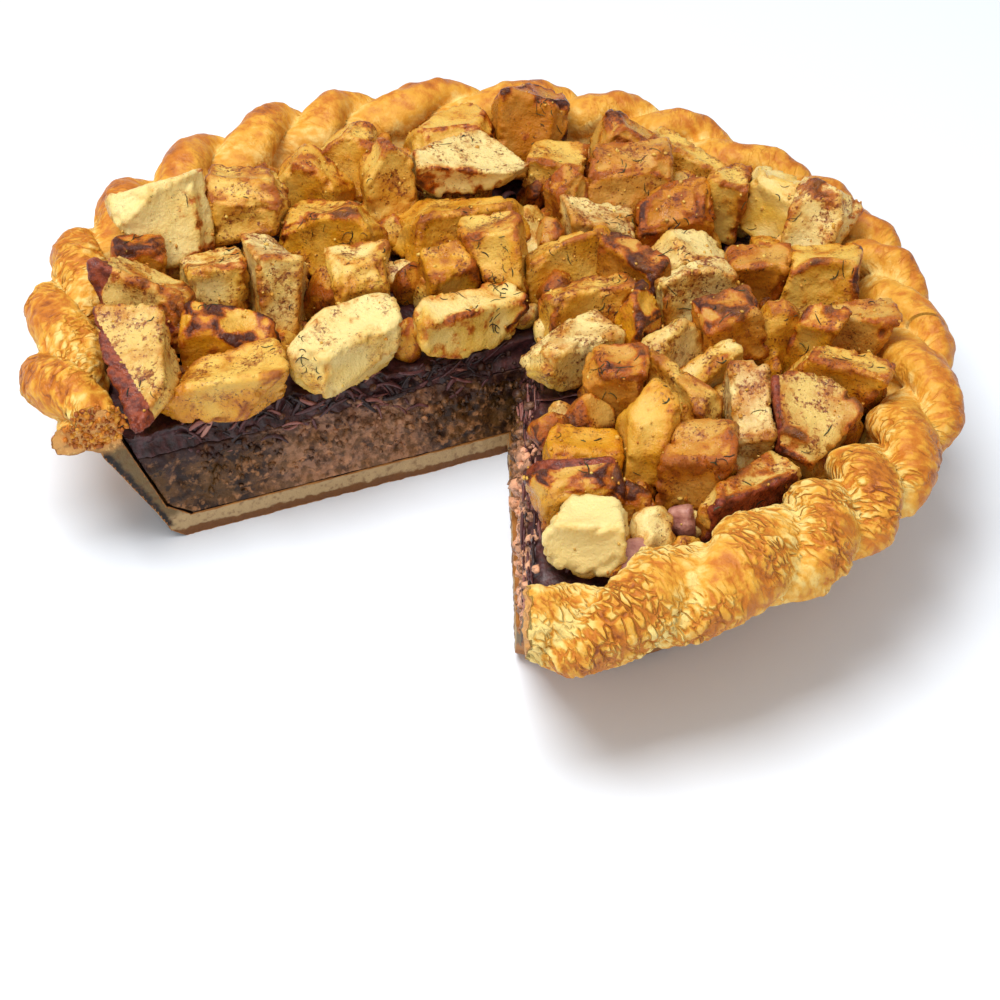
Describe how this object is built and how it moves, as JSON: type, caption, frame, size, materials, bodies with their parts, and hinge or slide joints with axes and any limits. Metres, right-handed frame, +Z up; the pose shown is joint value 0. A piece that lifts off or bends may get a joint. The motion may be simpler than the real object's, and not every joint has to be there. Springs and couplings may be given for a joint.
{
  "type": "savory meat and potato pie with a wedge cut out",
  "caption": "Deep round savory pie with a twisted rope crust, minced meat, dark onion and roasted potato chunks, one wedge missing.",
  "frame": {"origin": "on the axis of the round pastry case, on the flat surface that the pie stands on", "axes": "+Z up; the wedge is missing between the bearings 203 and 270 degrees from +X, on the -X -Y side, and the picture looks along +Y and down"},
  "size_m": [0.2563, 0.2551, 0.0698],
  "materials": {
    "pastry": "baked golden pastry, blistered and lightly glazed",
    "meat": "moist crumbly minced meat",
    "onion": "soft dark onion, wet and glossy",
    "potato_cream": "pale boiled and lightly roasted potato",
    "potato_golden": "golden roasted potato",
    "potato_brown": "well browned roasted potato",
    "potato_skin": "roasted potato with a strip of skin"
  },
  "bodies": {
    "root": {"crust": "pastry", "meat_filling": "meat", "onion_layer": "onion", "potato_01": "potato_cream", "potato_02": "potato_brown", "potato_03": "potato_skin", "potato_04": "potato_cream", "potato_05": "potato_cream", "potato_06": "potato_skin", "potato_07": "potato_golden", "potato_08": "potato_golden", "potato_09": "potato_cream", "potato_10": "potato_cream", "potato_11": "potato_golden", "potato_12": "potato_golden", "potato_13": "potato_golden", "potato_14": "potato_golden", "potato_15": "potato_golden", "potato_16": "potato_golden", "potato_17": "potato_cream", "potato_18": "potato_golden", "potato_19": "potato_brown", "potato_20": "potato_golden", "potato_21": "potato_brown", "potato_22": "potato_brown", "potato_23": "potato_golden", "potato_24": "potato_brown", "potato_25": "potato_golden", "potato_26": "potato_cream", "potato_27": "potato_cream", "potato_28": "potato_golden", "potato_29": "potato_cream", "potato_30": "potato_brown", "potato_31": "potato_brown", "potato_32": "potato_cream", "potato_33": "potato_golden", "potato_34": "potato_golden", "potato_35": "potato_cream", "potato_36": "potato_golden", "potato_37": "potato_brown", "potato_38": "potato_golden", "potato_39": "potato_cream", "potato_40": "potato_golden", "potato_41": "potato_cream", "potato_42": "potato_cream", "potato_43": "potato_brown", "potato_44": "potato_cream", "potato_45": "potato_golden", "potato_46": "potato_brown", "potato_47": "potato_golden", "potato_48": "potato_skin", "potato_49": "potato_cream", "potato_50": "potato_brown", "potato_51": "potato_golden", "potato_52": "potato_golden", "potato_53": "potato_golden", "potato_54": "potato_brown", "potato_55": "potato_skin", "potato_56": "potato_cream", "potato_57": "potato_skin"}
  },
  "joints": []
}
